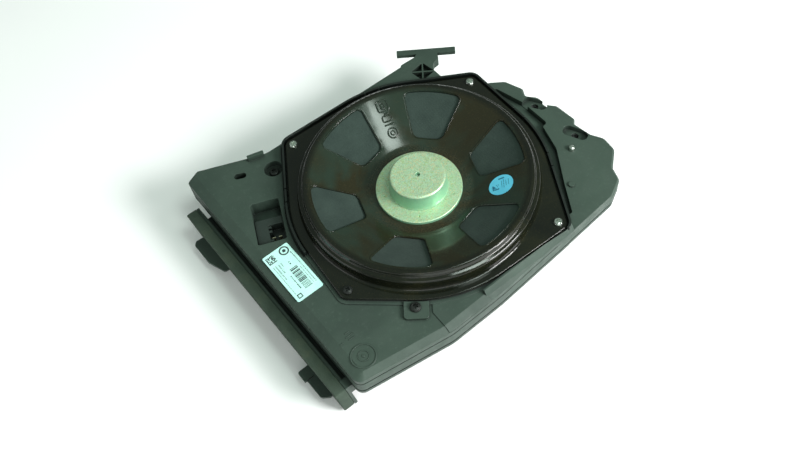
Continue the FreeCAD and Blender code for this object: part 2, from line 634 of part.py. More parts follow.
def make_dust_cap():
    """Shallow dome over the neck, glued under the cone on the chamber side."""
    skin = 0.8
    glue = 0.05
    rim_r, dome_r, apex = 24.0, 18.4, 22.4
    rim = cone_z(rim_r) - CONE_SKIN - glue
    shoulder = cone_z(dome_r) - CONE_SKIN - glue
    outline = [(rim_r, rim), (rim_r, rim - skin), (dome_r, shoulder - skin)]
    inner = [(dome_r, shoulder)]
    for x in (15.0, 11.5, 8.0, 4.0, 0.0):
        z = apex + (shoulder - skin - apex) * (x / dome_r) ** 2
        outline.append((x, z))
        inner.insert(0, (x, z + skin))
    return revolved(outline + inner)


def make_surround():
    """Half-roll edge: glued under the flange outside and on the cone's rim inside."""
    top = FLANGE_TOP_Z - STEEL
    skin = 0.7
    inner_r, outer_r = 84.4, 97.4
    mid = 0.5 * (inner_r + outer_r)
    roll = 0.5 * (outer_r - inner_r)
    z = top - skin
    points_out = [Vector(103.4, 0, top), Vector(outer_r, 0, top)]
    edges = [Part.LineSegment(Vector(103.4, 0, z), Vector(103.4, 0, top)).toShape(),
             Part.LineSegment(points_out[0], points_out[1]).toShape(),
             Part.Arc(Vector(outer_r, 0, top), Vector(mid, 0, top - roll + skin), Vector(inner_r, 0, top)).toShape(),
             Part.LineSegment(Vector(inner_r, 0, top), Vector(80.0, 0, top)).toShape(),
             Part.LineSegment(Vector(80.0, 0, top), Vector(80.0, 0, z)).toShape(),
             Part.LineSegment(Vector(80.0, 0, z), Vector(inner_r - 0.4, 0, z)).toShape(),
             Part.Arc(Vector(inner_r - 0.4, 0, z), Vector(mid, 0, z - roll), Vector(outer_r + 0.4, 0, z)).toShape(),
             Part.LineSegment(Vector(outer_r + 0.4, 0, z), Vector(103.4, 0, z)).toShape()]
    face = Part.Face(Part.Wire(edges))
    return face.revolve(Vector(0, 0, 0), Vector(0, 0, 1), 360)


SPIDER_Z = 45.6


def make_spider_ring():
    return revolved([(38.0, SPIDER_Z + 0.8), (43.8, SPIDER_Z + 0.8), (43.8, HUB_TOP_Z - STEEL), (38.0, HUB_TOP_Z - STEEL)])


def make_spider():
    """Corrugated centring disc between the spider ring and the former."""
    flat_out = [(43.6, SPIDER_Z + 0.8), (37.6, SPIDER_Z + 0.8)]
    waves = []
    steps = 24
    for i in range(1, steps):
        r = 37.6 + (21.4 - 37.6) * i / steps
        waves.append((r, SPIDER_Z + 0.8 + 1.1 * math.sin(math.pi * 6 * i / steps)))
    flat_in = [(21.4, SPIDER_Z + 0.8), (FORMER_R, SPIDER_Z + 0.8)]
    upper = flat_out + waves + flat_in
    lower = [(r, z - 0.7) for r, z in reversed(upper)]
    return revolved(upper + lower)


def make_terminal_block():
    """Post on the chamber floor that carries the two terminal tags."""
    foot = rounded_block(20, 18, 2, WALL, WALL + 2)
    post = rounded_block(12, 14, 1.5, WALL, TERMINAL_TOP_Z)
    block = placed(foot.fuse(post).removeSplitter(), 99.0, 0.0, 0)
    return placed(block, 0, 0, TERMINAL_TURN)


def make_terminal_tags():
    tags = []
    for side in (-4.0, 4.0):
        tag = Part.makeBox(18, 2.6, 0.6, Vector(90, side - 1.3, TERMINAL_TOP_Z))
        tags.append(placed(tag, 0, 0, TERMINAL_TURN))
    return Part.makeCompound(tags)


def tube(points, radius, bend):
    """Round wire along straight runs joined by tangent arcs."""
    points = [Vector(*p) for p in points]
    edges = []
    at = points[0]
    for i in range(1, len(points) - 1):
        a = (points[i - 1] - points[i]).normalize()
        b = (points[i + 1] - points[i]).normalize()
        half = a.getAngle(b) / 2.0
        reach = bend / math.tan(half)
        middle = (a + b).normalize()
        centre = points[i] + middle * (bend / math.sin(half))
        start = points[i] + a * reach
        end = points[i] + b * reach
        edges.append(Part.LineSegment(at, start).toShape())
        edges.append(Part.Arc(start, centre - middle * bend, end).toShape())
        at = end
    edges.append(Part.LineSegment(at, points[-1]).toShape())
    path = Part.Wire(edges)
    direction = (points[1] - points[0]).normalize()
    section = Part.Wire([Part.Circle(points[0], direction, radius).toShape()])
    return path.makePipeShell([section], True, False)


def make_tinsel_leads():
    """Two flexible braids from the terminal tags up to the chamber side of the cone."""
    z = TERMINAL_TOP_Z + 1.3
    end_r = 60.0
    end_z = cone_z(end_r) - CONE_SKIN - 0.8
    leads = []
    for side in (-4.0, 4.0):
        lead = tube([(92.0, side, z), (76.0, side, z + 0.8), (end_r + 1.0, side, end_z - 7.0), (end_r, side, end_z)],
                    0.6, 5.0)
        leads.append(placed(lead, 0, 0, TERMINAL_TURN))
    return Part.makeCompound(leads)


def blade_foot(side):
    """Lower end of a connector blade."""
    turn = math.radians(POCKET_TURN)
    lx, ly = PIN_LINE, -4.0 + side
    x = POCKET_AT[0] + lx * math.cos(turn) - ly * math.sin(turn)
    y = POCKET_AT[1] + lx * math.sin(turn) + ly * math.cos(turn)
    return x, y


def make_lead_wires():
    """Insulated wires from the connector blades to the terminal tags, inside the chamber."""
    z = TERMINAL_TOP_Z + 1.5
    out = polar(106.0, TERMINAL_TURN, z)
    across = polar(4.0, TERMINAL_TURN + 90.0)
    wires = []
    x, y = blade_foot(PIN_SIDES[0])
    end = out + across
    wires.append(tube([(x, y, 32.9), (x, y, z), (end.x, end.y, z)], 0.8, 2.4))
    x, y = blade_foot(PIN_SIDES[1])
    end = out - across
    wires.append(tube([(x, y, 32.9), (x, y, z), (-110.0, 47.0, z), (end.x, end.y, z)], 0.8, 2.4))
    return Part.makeCompound(wires)


# ---- labels and small trim ----------------------------------------------------------
def make_part_label():
    return placed(rounded_block(51, 24, 1.5, DECK_Z, DECK_Z + 0.25), -125.0, 3.0, 90.0)


def make_oval_label():
    ellipse = Part.Ellipse(Vector(0, 0, 40), 9.7, 9.4)
    face = Part.Face(Part.Wire([ellipse.toShape()]))
    column = placed(face.extrude(Vector(0, 0, 50)), 46.2, -48.0, 0.0)
    return dish_skin(46.0, 87.0, -0.25, 0.25).common(column)


def make_locating_stud():
    x, y = STUD_AT
    z = LOW_DECK_Z
    stud = revolved([(0, z - 1.7), (1.6, z - 1.7), (1.6, z), (2.6, z), (2.6, z + 2.0), (2.2, z + 3.0), (1.2, z + 3.6),
                     (0, z + 3.8)])
    stud.translate(Vector(x, y, 0))
    return stud


MAKERS = {
    "upper_housing": make_upper_housing,
    "lower_housing": make_lower_housing,
    "outlet_seal": make_outlet_seal,
    "shell_seal": make_shell_seal,
    "shell_screws": make_shell_screws,
    "connector_socket": make_connector_socket,
    "connector_pins": make_connector_pins,
    "lead_wires": make_lead_wires,
    "driver_basket": make_driver_basket,
    "window_cloths": make_window_cloths,
    "driver_gasket": make_driver_gasket,
    "driver_screws": make_driver_screws,
    "motor_ring": make_motor_ring,
    "motor_pot": make_motor_pot,
    "magnet_disc": make_magnet_disc,
    "pole_plate": make_pole_plate,
    "spider_ring": make_spider_ring,
    "spider": make_spider,
    "terminal_block": make_terminal_block,
    "terminal_tags": make_terminal_tags,
    "tinsel_leads": make_tinsel_leads,
    "voice_coil_former": make_voice_coil_former,
    "voice_coil_winding": make_voice_coil_winding,
    "cone": make_cone,
    "dust_cap": make_dust_cap,
    "surround": make_surround,
    "part_label": make_part_label,
    "oval_label": make_oval_label,
    "locating_stud": make_locating_stud,
}


os.makedirs("parts", exist_ok=True)
for node, maker in MAKERS.items():
    shape = maker()
    print(node, "solids", len(shape.Solids), "valid", shape.isValid(), "volume", round(shape.Volume, 1))
    shape.exportStep("parts/" + node + ".step")
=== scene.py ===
import json
import math
import random

import bmesh
import bpy
from mathutils import Matrix, Vector


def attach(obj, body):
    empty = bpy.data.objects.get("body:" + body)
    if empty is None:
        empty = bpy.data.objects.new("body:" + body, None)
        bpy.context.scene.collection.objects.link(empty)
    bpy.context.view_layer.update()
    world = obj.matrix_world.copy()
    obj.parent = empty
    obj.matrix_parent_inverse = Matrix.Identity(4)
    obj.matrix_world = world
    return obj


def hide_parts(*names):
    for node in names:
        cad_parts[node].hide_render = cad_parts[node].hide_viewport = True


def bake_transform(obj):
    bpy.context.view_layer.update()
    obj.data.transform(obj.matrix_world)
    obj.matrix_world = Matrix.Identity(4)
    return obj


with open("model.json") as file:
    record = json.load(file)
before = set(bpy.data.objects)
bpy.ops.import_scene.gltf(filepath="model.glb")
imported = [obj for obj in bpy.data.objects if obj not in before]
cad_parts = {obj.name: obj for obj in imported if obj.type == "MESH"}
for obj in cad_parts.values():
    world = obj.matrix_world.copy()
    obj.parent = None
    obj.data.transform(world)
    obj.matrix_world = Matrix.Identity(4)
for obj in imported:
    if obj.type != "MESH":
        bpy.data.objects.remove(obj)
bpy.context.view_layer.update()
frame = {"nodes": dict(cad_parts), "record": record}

MM = 0.001
rng = random.Random(11)

# Dimensions that repeat those of the CAD model, in millimetres from the driver's axis and the base.
DECK_Z = 56.0
RIB_TOP_Z = 62.0
DARK_SCREW_AT = (-103.0, -41.0)
HUB_R, HUB_TOP_Z = 44.0, 53.0
RIM_R, RIM_TOP_Z = 89.0, 75.3
RIM_DROP = 1.0
WINDOW_PHASE = 42.0
WINDOW_INNER_R, WINDOW_END_R, WINDOW_BLANK_R = 49.5, 86.4, 96.0
WINDOW_HALF_IN, WINDOW_HALF_OUT = 12.0, 30.0
WINDOW_ROUND_IN, WINDOW_ROUND_OUT = 6.0, 4.5
LABEL_AT = (-125.0, 3.0)
LABEL_TOP_Z = DECK_Z + 0.25
OVAL_AT = (46.2, -48.0)
OVAL_TURN = math.radians(-37.3)
OVAL_FILM = 0.26
RING_MARK_AT = (-126.0, -90.0)
SURROUND_TOP_Z, SURROUND_SKIN = 58.5, 0.7
SURROUND_OUTER_R, SURROUND_INNER_R = 97.2, 84.6
SURROUND_GLUE_R = (103.3, 80.2)
SPIDER_Z, SPIDER_SKIN, SPIDER_WAVE = 46.4, 0.7, 1.1
SPIDER_OUTER_R, SPIDER_INNER_R = 37.6, 21.4
SPIDER_GLUE_R = (43.5, 18.4)
CONE_NECK_R, CONE_NECK_Z = 18.3, 26.4
CONE_WIDTH, CONE_RISE = 65.7, 30.8
LEAD_TURN, LEAD_Z = 160.0, 29.3
LEAD_START_R, LEAD_END_R = 92.0, 60.0
LEAD_SPACING, LEAD_R = 4.0, 0.6

# Radii at which the basket's colour and finish change, in metres: rust freckles by the motor, painted
# reflection on the dish up to the rim.
MOTOR_R, FRECKLE_END_R = 0.036, 0.050
DISH_END_R, RIM_START_R = 0.086, 0.090


# ---------------------------------------------------------------- materials
class Shader:
    """Small helper that wires a Principled material."""

    def __init__(self, name):
        self.mat = bpy.data.materials.new(name)
        self.mat.use_nodes = True
        self.tree = self.mat.node_tree
        self.tree.nodes.clear()
        self.out = self.tree.nodes.new("ShaderNodeOutputMaterial")
        self.bsdf = self.tree.nodes.new("ShaderNodeBsdfPrincipled")
        self.link(self.bsdf.outputs[0], self.out.inputs[0])
        coords = self.node("ShaderNodeTexCoord")
        self.coords = coords.outputs["Object"]

    def node(self, kind, **settings):
        n = self.tree.nodes.new(kind)
        for key, value in settings.items():
            setattr(n, key, value)
        return n

    def link(self, a, b):
        self.tree.links.new(a, b)

    def noise(self, per_mm, detail=3.0, rough=0.55, stretch=None, distortion=0.0):
        source = self.coords
        if stretch:
            mapping = self.node("ShaderNodeMapping")
            mapping.inputs["Scale"].default_value = stretch
            self.link(source, mapping.inputs["Vector"])
            source = mapping.outputs[0]
        n = self.node("ShaderNodeTexNoise")
        n.inputs["Scale"].default_value = per_mm * 1000.0
        n.inputs["Detail"].default_value = detail
        n.inputs["Roughness"].default_value = rough
        n.inputs["Distortion"].default_value = distortion
        self.link(source, n.inputs["Vector"])
        return n.outputs[0]

    def ramp(self, value, stops):
        r = self.node("ShaderNodeValToRGB")
        r.color_ramp.elements[0].position = stops[0][0]
        r.color_ramp.elements[0].color = (*stops[0][1], 1)
        r.color_ramp.elements[1].position = stops[-1][0]
        r.color_ramp.elements[1].color = (*stops[-1][1], 1)
        for pos, colour in stops[1:-1]:
            e = r.color_ramp.elements.new(pos)
            e.color = (*colour, 1)
        self.link(value, r.inputs[0])
        return r.outputs[0]

    def span(self, value, lo, hi, from_lo=0.3, from_hi=0.7):
        m = self.node("ShaderNodeMapRange")
        m.inputs["From Min"].default_value = from_lo
        m.inputs["From Max"].default_value = from_hi
        m.inputs["To Min"].default_value = lo
        m.inputs["To Max"].default_value = hi
        self.link(value, m.inputs["Value"])
        return m.outputs[0]

    def mix(self, factor, a, b, mode="MIX"):
        m = self.node("ShaderNodeMix", data_type="RGBA", blend_type=mode)
        for socket, value in ((m.inputs[0], factor), (m.inputs[6], a), (m.inputs[7], b)):
            if hasattr(value, "is_linked"):
                self.link(value, socket)
            elif isinstance(value, (tuple, list)):
                socket.default_value = (*value, 1)
            else:
                socket.default_value = value
        return m.outputs[2]

    def math(self, op, a, b=None, clamp=False):
        m = self.node("ShaderNodeMath", operation=op, use_clamp=clamp)
        for socket, value in zip(m.inputs, (a, b)):
            if value is None:
                continue
            if hasattr(value, "is_linked"):
                self.link(value, socket)
            else:
                socket.default_value = value
        return m.outputs[0]

    def bump(self, height, strength, distance_mm, normal=None):
        b = self.node("ShaderNodeBump")
        b.inputs["Strength"].default_value = strength
        b.inputs["Distance"].default_value = distance_mm * MM
        self.link(height, b.inputs["Height"])
        if normal is not None:
            self.link(normal, b.inputs["Normal"])
        return b.outputs[0]

    def rounded(self, radius_mm, samples=4):
        b = self.node("ShaderNodeBevel", samples=samples)
        b.inputs["Radius"].default_value = radius_mm * MM
        return b.outputs[0]

    def edge_mask(self, bevel_normal, gain=3.0):
        """1 on outer and inner edges, 0 on flat ground."""
        geo = self.node("ShaderNodeNewGeometry")
        dot = self.node("ShaderNodeVectorMath", operation="DOT_PRODUCT")
        self.link(bevel_normal, dot.inputs[0])
        self.link(geo.outputs["Normal"], dot.inputs[1])
        away = self.math("SUBTRACT", 1.0, dot.outputs["Value"], clamp=True)
        return self.math("MULTIPLY", away, gain, clamp=True)

    def radial(self):
        """Distance from the driver axis, in metres."""
        flat = self.node("ShaderNodeVectorMath", operation="MULTIPLY")
        flat.inputs[1].default_value = (1.0, 1.0, 0.0)
        self.link(self.coords, flat.inputs[0])
        length = self.node("ShaderNodeVectorMath", operation="LENGTH")
        self.link(flat.outputs[0], length.inputs[0])
        return length.outputs["Value"]

    def facing_up(self):
        """1 on surfaces that face up, 0 on upright walls."""
        split = self.node("ShaderNodeSeparateXYZ")
        geometry = self.node("ShaderNodeNewGeometry")
        self.link(geometry.outputs["Normal"], split.inputs[0])
        return split.outputs["Z"]

    def hollow_shade(self, reach_mm, most):
        """Amount of painted shade from ambient occlusion: most in slots and inside corners, 0 on open
        ground.
        """
        ao = self.node("ShaderNodeAmbientOcclusion", samples=8)
        ao.inputs["Distance"].default_value = reach_mm * MM
        return self.span(ao.outputs["AO"], most, 0.0, 0.35, 0.85)

    def finish(self, colour=None, roughness=None, normal=None, **constants):
        for socket, value in (("Base Color", colour), ("Roughness", roughness), ("Normal", normal)):
            if value is not None and hasattr(value, "is_linked"):
                self.link(value, self.bsdf.inputs[socket])
            elif value is not None:
                constants[socket] = value
        for socket, value in constants.items():
            self.bsdf.inputs[socket.replace("_", " ")].default_value = value
        return self.mat


def srgb(r, g, b):
    """Linear colour from 0-255 display values."""
    out = []
    for c in (r, g, b):
        c /= 255.0
        out.append(c / 12.92 if c <= 0.04045 else ((c + 0.055) / 1.055) ** 2.4)
    return tuple(out)


def moulded(name, dark, light, rough=(0.42, 0.62), grain=0.35, edge=1.0):
    """Textured injection-moulded plastic: fine spark grain, flow marks, rubbed edges, painted shade in
    slots and corners.
    """
    s = Shader(name)
    flow = s.noise(0.012, 4.0, 0.6, distortion=0.6)
    colour = s.ramp(flow, [(0.3, dark), (0.7, light)])
    dust = s.noise(0.35, 5.0, 0.7)
    dusted = tuple(min(1.0, c * 1.6 + 0.02) for c in light)
    colour = s.mix(s.span(dust, 0.0, 0.35, 0.55, 0.8), colour, dusted)
    bevel = s.rounded(0.5)
    mask = s.edge_mask(bevel, 2.2)
    rub = s.math("MULTIPLY", mask, s.span(s.noise(0.12, 3.0), 0.25, 1.0), clamp=True)
    worn = tuple(min(1.0, c * 2.1 + 0.015) for c in light)
    colour = s.mix(s.math("MULTIPLY", rub, 0.45 * edge), colour, worn)
    # painted shade: colour darkened in slots, grooves and inside corners
    painted_shade = tuple(0.18 * c for c in dark)
    colour = s.mix(s.hollow_shade(9.0, 0.85), colour, painted_shade)
    roughness = s.span(s.noise(0.08, 4.0), rough[0], rough[1])
    fine = s.noise(2.6, 2.0, 0.6)
    normal = s.bump(fine, grain, 0.06, bevel)
    normal = s.bump(s.noise(0.03, 2.0), 0.12, 0.5, normal)
    return s.finish(colour, roughness, normal, IOR=1.5, **{"Specular IOR Level": 0.4})


def foam(name):
    """Closed-cell foam: open cut cells and a blotchy tone."""
    s = Shader(name)
    cells = s.node("ShaderNodeTexVoronoi")
    cells.inputs["Scale"].default_value = 1700.0
    s.link(s.coords, cells.inputs["Vector"])
    tone = s.noise(0.05, 5.0, 0.65)
    colour = s.ramp(tone, [(0.3, srgb(51, 63, 54)), (0.55, srgb(60, 73, 62)), (0.75, srgb(72, 81, 66))])
    colour = s.mix(s.span(cells.outputs["Distance"], 0.35, 0.0, 0.0, 0.5), colour, srgb(24, 29, 24))
    normal = s.bump(cells.outputs["Distance"], 0.5, 0.25, s.rounded(1.0))
    normal = s.bump(s.noise(0.1, 3.0), 0.25, 0.6, normal)
    return s.finish(colour, 0.95, normal, IOR=1.4)


def enamel(name):
    """Glossy dark paint over pressed steel: dish painted lighter, brown from the paint's own tone and green
    as painted reflection of the motor pot, metallic flecks, rusty freckles by the motor.
    """
    s = Shader(name)
    tone = s.noise(0.02, 5.0, 0.6, distortion=1.0)
    colour = s.ramp(tone, [(0.3, srgb(10, 13, 9)), (0.6, srgb(18, 21, 13)), (0.8, srgb(31, 31, 17))])
    # dish: lighter patches, brown from the paint's own tone, green as painted reflection of the motor pot
    dish = s.span(s.radial(), 0.7, 0.0, DISH_END_R, RIM_START_R)
    patches = s.noise(0.016, 3.0, 0.6, distortion=0.8)
    dish_tone_and_reflection = s.ramp(patches, [(0.40, srgb(38, 36, 20)), (0.56, srgb(37, 51, 41))])
    colour = s.mix(dish, colour, dish_tone_and_reflection)
    fleck = s.noise(1.3, 2.0, 0.5)
    colour = s.mix(s.span(fleck, 0.0, 0.35, 0.62, 0.75), colour, srgb(84, 74, 46))
    rust = s.noise(0.8, 5.0, 0.8)
    near_hub = s.span(s.radial(), 1.0, 0.0, MOTOR_R, FRECKLE_END_R)
    freckles = s.math("MULTIPLY", s.span(rust, 0.0, 0.55, 0.50, 0.66), near_hub)
    colour = s.mix(freckles, colour, srgb(74, 58, 30))
    normal = s.bump(s.noise(0.20, 2.0), 0.010, 0.10, s.rounded(2.0, 10))
    rough = s.span(s.noise(0.05, 4.0), 0.07, 0.15)
    rough = s.mix(near_hub, rough, s.span(rust, 0.2, 0.55))
    return s.finish(colour, rough, normal, IOR=1.4,
                    **{"Coat Weight": 0.12, "Coat Roughness": 0.06})


def cloth(name, a, b, cell=0.9):
    """Felted cloth: crossed threads under loose fibres."""
    s = Shader(name)
    wave1 = s.node("ShaderNodeTexWave", wave_type="BANDS", bands_direction="X")
    wave2 = s.node("ShaderNodeTexWave", wave_type="BANDS", bands_direction="Y")
    for w in (wave1, wave2):
        w.inputs["Scale"].default_value = 1000.0 * cell / 6.0
        w.inputs["Distortion"].default_value = 1.6
        w.inputs["Detail"].default_value = 2.0
        s.link(s.coords, w.inputs["Vector"])
    weave = s.math("MULTIPLY", wave1.outputs[1], wave2.outputs[1])
    felt = s.noise(1.1, 5.0, 0.75)
    colour = s.ramp(s.noise(0.06, 4.0), [(0.3, a), (0.7, b)])
    fluff = tuple(min(1, c * 1.5 + 0.005) for c in b)
    colour = s.mix(s.span(felt, 0.0, 0.5, 0.45, 0.75), colour, fluff)
    normal = s.bump(felt, 0.6, 0.25)
    normal = s.bump(weave, 0.35, 0.15, normal)
    return s.finish(colour, 0.92, normal, IOR=1.45,
                    **{"Sheen Weight": 0.05, "Sheen Roughness": 0.5, "Specular IOR Level": 0.15})


def zinc(name):
    """Yellow-passivated zinc plate: pale green-gold with fine iridescent speckle, upright walls painted a
    darker teal as painted shade.
    """
    s = Shader(name)
    cloud = s.noise(0.45, 5.0, 0.7, distortion=0.8)
    colour = s.ramp(cloud, [(0.30, srgb(168, 196, 128)), (0.42, srgb(180, 208, 158)),
                            (0.50, srgb(166, 214, 188)), (0.58, srgb(204, 204, 158)),
                            (0.70, srgb(172, 208, 150))])
    speck = s.noise(1.6, 4.0, 0.85)
    colour = s.mix(s.span(speck, 0.0, 0.9, 0.48, 0.62), colour, srgb(116, 132, 92))
    blush = s.noise(1.3, 3.0, 0.6)
    colour = s.mix(s.span(blush, 0.0, 0.3, 0.55, 0.70), colour, srgb(214, 186, 150))
    # painted shade: upright walls painted a darker teal than the top
    colour = s.mix(s.span(s.facing_up(), 0.75, 0.0, 0.1, 0.7), colour, srgb(120, 186, 152))
    bevel = s.rounded(0.5)
    rough = s.span(s.noise(0.25, 4.0), 0.30, 0.48)
    normal = s.bump(s.noise(1.2, 3.0), 0.14, 0.06, bevel)
    return s.finish(colour, rough, normal, Metallic=0.4, IOR=1.7)


def bright(name, a, b, rough=(0.22, 0.4), metallic=1.0):
    """Plated or drawn metal with a slightly uneven polish."""
    s = Shader(name)
    colour = s.ramp(s.noise(0.3, 4.0), [(0.3, a), (0.7, b)])
    bevel = s.rounded(0.25)
    normal = s.bump(s.noise(1.5, 3.0), 0.12, 0.05, bevel)
    return s.finish(colour, s.span(s.noise(0.6, 3.0), *rough), normal, Metallic=metallic)


def rubber(name, a, b, rough=(0.5, 0.7), bumpiness=0.25):
    """Matt rubber with a fine skin."""
    s = Shader(name)
    colour = s.ramp(s.noise(0.07, 4.0), [(0.3, a), (0.7, b)])
    normal = s.bump(s.noise(1.4, 3.0), bumpiness, 0.08)
    return s.finish(colour, s.span(s.noise(0.2, 3.0), *rough), normal, IOR=1.5)


def paper(name, a, b):
    """Printed film: faint mottling and a soft gloss."""
    s = Shader(name)
    colour = s.ramp(s.noise(0.08, 4.0), [(0.3, a), (0.7, b)])
    normal = s.bump(s.noise(0.5, 3.0), 0.08, 0.06)
    return s.finish(colour, s.span(s.noise(0.2, 3.0), 0.28, 0.42), normal, IOR=1.5)


def fibre(name, a, b):
    """Pressed fibre with visible strands."""
    s = Shader(name)
    strands = s.noise(0.9, 4.0, 0.7, stretch=(1.0, 3.0, 1.0), distortion=2.0)
    colour = s.ramp(strands, [(0.35, a), (0.65, b)])
    return s.finish(colour, 0.85, s.bump(strands, 0.5, 0.2), IOR=1.45)


MAT = {
    "housing_plastic": moulded("housing_plastic", srgb(43, 56, 49), srgb(55, 70, 61)),
    # rib: glossier copy of the housing plastic, painted darker as painted shade
    "rib_plastic_painted_shade": moulded("rib_plastic_painted_shade", srgb(20, 26, 23), srgb(29, 36, 32), (0.3, 0.45), 0.2, 0.6),
    "seal_foam": foam("seal_foam"),
    "seal_rubber": rubber("seal_rubber", srgb(18, 19, 18), srgb(27, 28, 26)),
    "black_screw": bright("black_screw", srgb(26, 29, 27), srgb(44, 48, 45), (0.3, 0.5), 0.4),
    "connector_plastic": moulded("connector_plastic", srgb(32, 41, 37), srgb(44, 54, 49), (0.35, 0.5), 0.2),
    "tinned_brass": bright("tinned_brass", srgb(190, 184, 150), srgb(214, 208, 180)),
    "wire_cover": rubber("wire_cover", srgb(36, 34, 38), srgb(54, 50, 52), (0.35, 0.5), 0.1),
    "basket_enamel": enamel("basket_enamel"),
    "vent_cloth": cloth("vent_cloth", srgb(38, 49, 45), srgb(47, 59, 54)),
    "bright_screw": bright("bright_screw", srgb(190, 200, 190), srgb(230, 235, 228), (0.16, 0.3)),
    "zinc_plate": zinc("zinc_plate"),
    "magnet_nickel": bright("magnet_nickel", srgb(170, 170, 162), srgb(205, 205, 198), (0.12, 0.25)),
    "spider_cloth": cloth("spider_cloth", srgb(120, 92, 40), srgb(150, 116, 56), 1.4),
    "braid_copper": bright("braid_copper", srgb(170, 108, 60), srgb(200, 140, 88), (0.35, 0.55)),
    "coil_former": bright("coil_former", srgb(150, 120, 60), srgb(176, 146, 84), (0.3, 0.45), 0.2),
    "coil_copper": bright("coil_copper", srgb(150, 76, 38), srgb(196, 110, 62), (0.25, 0.4)),
    "cone_fibre": fibre("cone_fibre", srgb(22, 22, 23), srgb(44, 44, 44)),
    "surround_rubber": rubber("surround_rubber", srgb(20, 20, 20), srgb(34, 34, 34)),
    "label_film": paper("label_film", srgb(176, 224, 216), srgb(190, 236, 227)),
    "label_blue": paper("label_blue", srgb(86, 184, 214), srgb(100, 200, 228)),
}
INK = paper("label_ink", srgb(40, 50, 52), srgb(62, 74, 76))
INK_SOFT = paper("label_ink_soft", srgb(110, 134, 132), srgb(134, 158, 154))
INK_BLUE = paper("label_ink_blue", srgb(22, 88, 116), srgb(40, 110, 138))



def paint_nodes():
    slots = {row["node"]: row["material_slot"] for row in frame["record"]["subparts"]}
    for node, obj in frame["nodes"].items():
        obj.data.materials.clear()
        obj.data.materials.append(MAT[slots[node]])


def darken_one_screw():
    """One of the four driver screws is black."""
    reach = 8.0 * MM
    screws = frame["nodes"]["driver_screws"].data
    screws.materials.append(MAT["black_screw"])
    for face in screws.polygons:
        away = math.hypot(face.center.x - DARK_SCREW_AT[0] * MM, face.center.y - DARK_SCREW_AT[1] * MM)
        if away < reach:
            face.material_index = 1


def darken_rib():
    """The retaining rib round the driver is glossier and painted darker as painted shade; nothing else of
    the shell is as high.
    """
    rib_faces_above = (RIB_TOP_Z - 0.1) * MM
    shell = frame["nodes"]["upper_housing"].data
    shell.materials.append(MAT["rib_plastic_painted_shade"])
    for face in shell.polygons:
        if max(shell.vertices[i].co.z for i in face.vertices) > rib_faces_above:
            face.material_index = 1


# ---------------------------------------------------------------- mesh helpers
class Build:
    """Collects faces in millimetres and turns them into one piece."""

    def __init__(self):
        self.verts = []
        self.faces = []

    def slab(self, outline, rise):
        """Flat-topped solid on a closed outline of (x, y, z) points."""
        n, base = len(outline), len(self.verts)
        self.verts += [Vector(p) for p in outline]
        self.verts += [Vector(p) + Vector((0, 0, rise)) for p in outline]
        self.faces.append([base + i for i in range(n)][::-1])
        self.faces.append([base + n + i for i in range(n)])
        for i in range(n):
            j = (i + 1) % n
            self.faces.append([base + i, base + j, base + n + j, base + n + i])

    def band(self, outer, inner, rise):
        """Ring between two outlines with as many points each."""
        n, base = len(outer), len(self.verts)
        for loop, lift in ((outer, 0), (outer, rise), (inner, rise), (inner, 0)):
            self.verts += [Vector(p) + Vector((0, 0, lift)) for p in loop]
        for k in range(4):
            for i in range(n):
                a, b = base + k * n, base + ((k + 1) % 4) * n
                self.faces.append([a + i, a + (i + 1) % n, b + (i + 1) % n, b + i])

    def tube(self, path, radius, closed=True, sides=8):
        """Round bar along a path, with its ends capped when it is open."""
        n, base = len(path), len(self.verts)
        path = [Vector(p) for p in path]
        for i, p in enumerate(path):
            ahead = path[(i + 1) % n] if closed or i < n - 1 else p
            behind = path[i - 1] if closed or i > 0 else p
            along = (ahead - behind).normalized()
            side = along.cross(Vector((0, 0, 1)))
            if side.length < 1e-4:
                side = Vector((1, 0, 0))
            side.normalize()
            over = side.cross(along)
            for k in range(sides):
                a = 2 * math.pi * k / sides
                self.verts.append(p + side * (radius * math.cos(a)) + over * (radius * math.sin(a)))
        for i in range(n if closed else n - 1):
            j = (i + 1) % n
            for k in range(sides):
                m = (k + 1) % sides
                self.faces.append([base + i * sides + k, base + j * sides + k,
                                   base + j * sides + m, base + i * sides + m])
        if not closed:
            self.faces.append([base + k for k in range(sides)])
            self.faces.append([base + (n - 1) * sides + k for k in range(sides)][::-1])

    def turned(self, profile, degrees0, degrees1, steps):
        """Closed (radius, z) profile swept between two directions, with its ends capped."""
        n, base = len(profile), len(self.verts)
        for i in range(steps + 1):
            a = math.radians(degrees0 + (degrees1 - degrees0) * i / steps)
            self.verts += [Vector((r * math.cos(a), r * math.sin(a), z)) for r, z in profile]
        for i in range(steps):
            for k in range(n):
                m = (k + 1) % n
                self.faces.append([base + i * n + k, base + (i + 1) * n + k,
                                   base + (i + 1) * n + m, base + i * n + m])
        self.faces.append([base + k for k in range(n)])
        self.faces.append([base + steps * n + k for k in range(n)][::-1])

    def piece(self, name, material, slot, body="housing"):
        mesh = bpy.data.meshes.new(name)
        mesh.from_pydata([v * MM for v in self.verts], [], self.faces)
        return finish_piece(name, mesh, material, body)


def finish_piece(name, mesh, material, body="housing"):
    """Object from a mesh: clean normals, smooth shading up to 40 degrees, material and body."""
    bm = bmesh.new()
    bm.from_mesh(mesh)
    bmesh.ops.recalc_face_normals(bm, faces=bm.faces)
    bm.to_mesh(mesh)
    bm.free()
    for polygon in mesh.polygons:
        polygon.use_smooth = True
    mesh.set_sharp_from_angle(angle=math.radians(40.0))
    mesh.materials.append(material)
    obj = bpy.data.objects.new(name, mesh)
    bpy.context.scene.collection.objects.link(obj)
    if body:
        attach(obj, body)
    return obj


def circle(cx, cy, z, radius, count=28):
    turns = [2 * math.pi * i / count for i in range(count)]
    return [(cx + radius * math.cos(t), cy + radius * math.sin(t), z) for t in turns]


def turned_to(x, y, turn):
    """Point (x, y) turned about the driver's axis."""
    return x * math.cos(turn) - y * math.sin(turn), x * math.sin(turn) + y * math.cos(turn)


